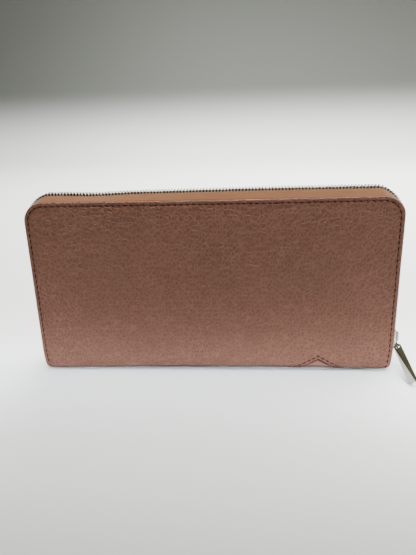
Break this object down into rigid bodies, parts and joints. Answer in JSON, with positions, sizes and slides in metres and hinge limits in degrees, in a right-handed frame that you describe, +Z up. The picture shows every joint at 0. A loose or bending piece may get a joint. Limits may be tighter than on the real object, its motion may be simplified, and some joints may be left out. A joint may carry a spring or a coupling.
{
  "type": "long zip-around wallet",
  "caption": "Long zip-around wallet in pebbled leather with card pockets, dividers, a zipped coin pocket and a bar pull.",
  "frame": {"origin": "centre of the flat underside of the spine, the face the closed wallet stands on", "axes": "+X along the wallet towards the end where the zip closes, -Y out of the front cover, +Z up"},
  "size_m": [0.2069, 0.037, 0.1001],
  "materials": {
    "leather_outer": "pebbled, satin",
    "leather_inlay": "smooth, satin",
    "leather_inner": "smooth, matte",
    "lining_cloth": "plain weave",
    "board": "bonded fibre board",
    "tape": "herringbone zip tape",
    "thread": "waxed thread",
    "zip_metal": "bright nickel"
  },
  "bodies": {
    "spine": {"spine_leather": "leather_outer", "spine_reinforcement": "board", "spine_inlay": "leather_inlay", "spine_lining": "lining_cloth", "spine_stitching": "thread", "coin_base": "leather_inner", "coin_front_wall": "leather_inner", "coin_back_wall": "leather_inner", "coin_left_side": "leather_inner", "coin_right_side": "leather_inner", "coin_front_tape": "tape", "coin_back_tape": "tape", "coin_front_teeth": "zip_metal", "coin_back_teeth": "zip_metal", "coin_zip_stops": "zip_metal", "left_front_gusset": "lining_cloth", "right_front_gusset": "lining_cloth", "left_back_gusset": "lining_cloth", "right_back_gusset": "lining_cloth"},
    "front_cover": {"front_cover_leather": "leather_outer", "front_cover_board": "board", "front_cover_lining": "lining_cloth", "front_card_pocket_1": "leather_inner", "front_card_pocket_2": "leather_inner", "front_card_pocket_3": "leather_inner", "front_card_pocket_4": "leather_inner", "front_zip_tape": "tape", "front_zip_teeth": "zip_metal", "front_zip_stops": "zip_metal", "front_stitching": "thread"},
    "front_divider": {"front_divider_panel": "leather_inner", "front_divider_binding": "leather_inner"},
    "back_cover": {"back_cover_leather": "leather_outer", "back_cover_board": "board", "back_cover_lining": "lining_cloth", "back_card_pocket_1": "leather_inner", "back_card_pocket_2": "leather_inner", "back_card_pocket_3": "leather_inner", "back_card_pocket_4": "leather_inner", "back_zip_tape": "tape", "back_zip_teeth": "zip_metal", "back_zip_stops": "zip_metal", "back_stitching": "thread"},
    "back_divider": {"back_divider_panel": "leather_inner", "back_divider_binding": "leather_inner"},
    "zip_slider": {"zip_slider_body": "zip_metal", "zip_slider_bridge": "zip_metal"},
    "pull_ring": {"zip_pull_ring": "zip_metal"},
    "pull_bar": {"zip_pull_bar": "zip_metal"},
    "coin_slider": {"coin_slider_body": "zip_metal", "coin_slider_bridge": "zip_metal"},
    "coin_puller": {"coin_pull": "zip_metal"}
  },
  "joints": [
    {"name": "front_cover_hinge", "type": "hinge", "parent": "spine", "child": "front_cover", "pos_m": [0, -0.01, 0.0095], "axis": [1, 0, 0], "range_deg": [0, 45], "deforming": ["left_front_gusset", "right_front_gusset"]},
    {"name": "front_divider_hinge", "type": "hinge", "parent": "spine", "child": "front_divider", "pos_m": [0, -0.00495, 0.0044], "axis": [1, 0, 0], "range_deg": [0, 22.5]},
    {"name": "back_cover_hinge", "type": "hinge", "parent": "spine", "child": "back_cover", "pos_m": [0, 0.01, 0.0095], "axis": [-1, 0, 0], "range_deg": [0, 45], "deforming": ["left_back_gusset", "right_back_gusset"]},
    {"name": "back_divider_hinge", "type": "hinge", "parent": "spine", "child": "back_divider", "pos_m": [0, 0.00495, 0.0044], "axis": [-1, 0, 0], "range_deg": [0, 22.5]},
    {"name": "zip_slide", "type": "slide", "parent": "back_cover", "child": "zip_slider", "axis": [0, 0, 1], "range_m": [0, 0.055], "deforming": ["front_zip_tape", "back_zip_tape", "front_zip_teeth", "back_zip_teeth", "front_zip_stops", "back_zip_stops"]},
    {"name": "zip_ring_swing", "type": "hinge", "parent": "zip_slider", "child": "pull_ring", "pos_m": [0.1014, 0, 0.014], "axis": [0, -1, 0], "range_deg": [-5, 100]},
    {"name": "zip_tab_swing", "type": "hinge", "parent": "pull_ring", "child": "pull_bar", "pos_m": [0.10207, 0, 0.01159], "axis": [0.9636, 0, 0.2672], "range_deg": [-5, 90]},
    {"name": "coin_zip_slide", "type": "slide", "parent": "spine", "child": "coin_slider", "axis": [-1, 0, 0], "range_m": [0, 0.13], "deforming": ["coin_front_teeth", "coin_back_teeth"]},
    {"name": "coin_pull_swing", "type": "hinge", "parent": "coin_slider", "child": "coin_puller", "pos_m": [0.0763, 0, 0.08255], "axis": [0, 1, 0], "range_deg": [0, 172]}
  ],
  "couplings": [
    {"joint": "front_divider_hinge", "follows": "front_cover_hinge", "ratio": 0.5},
    {"joint": "back_divider_hinge", "follows": "back_cover_hinge", "ratio": 0.5}
  ]
}
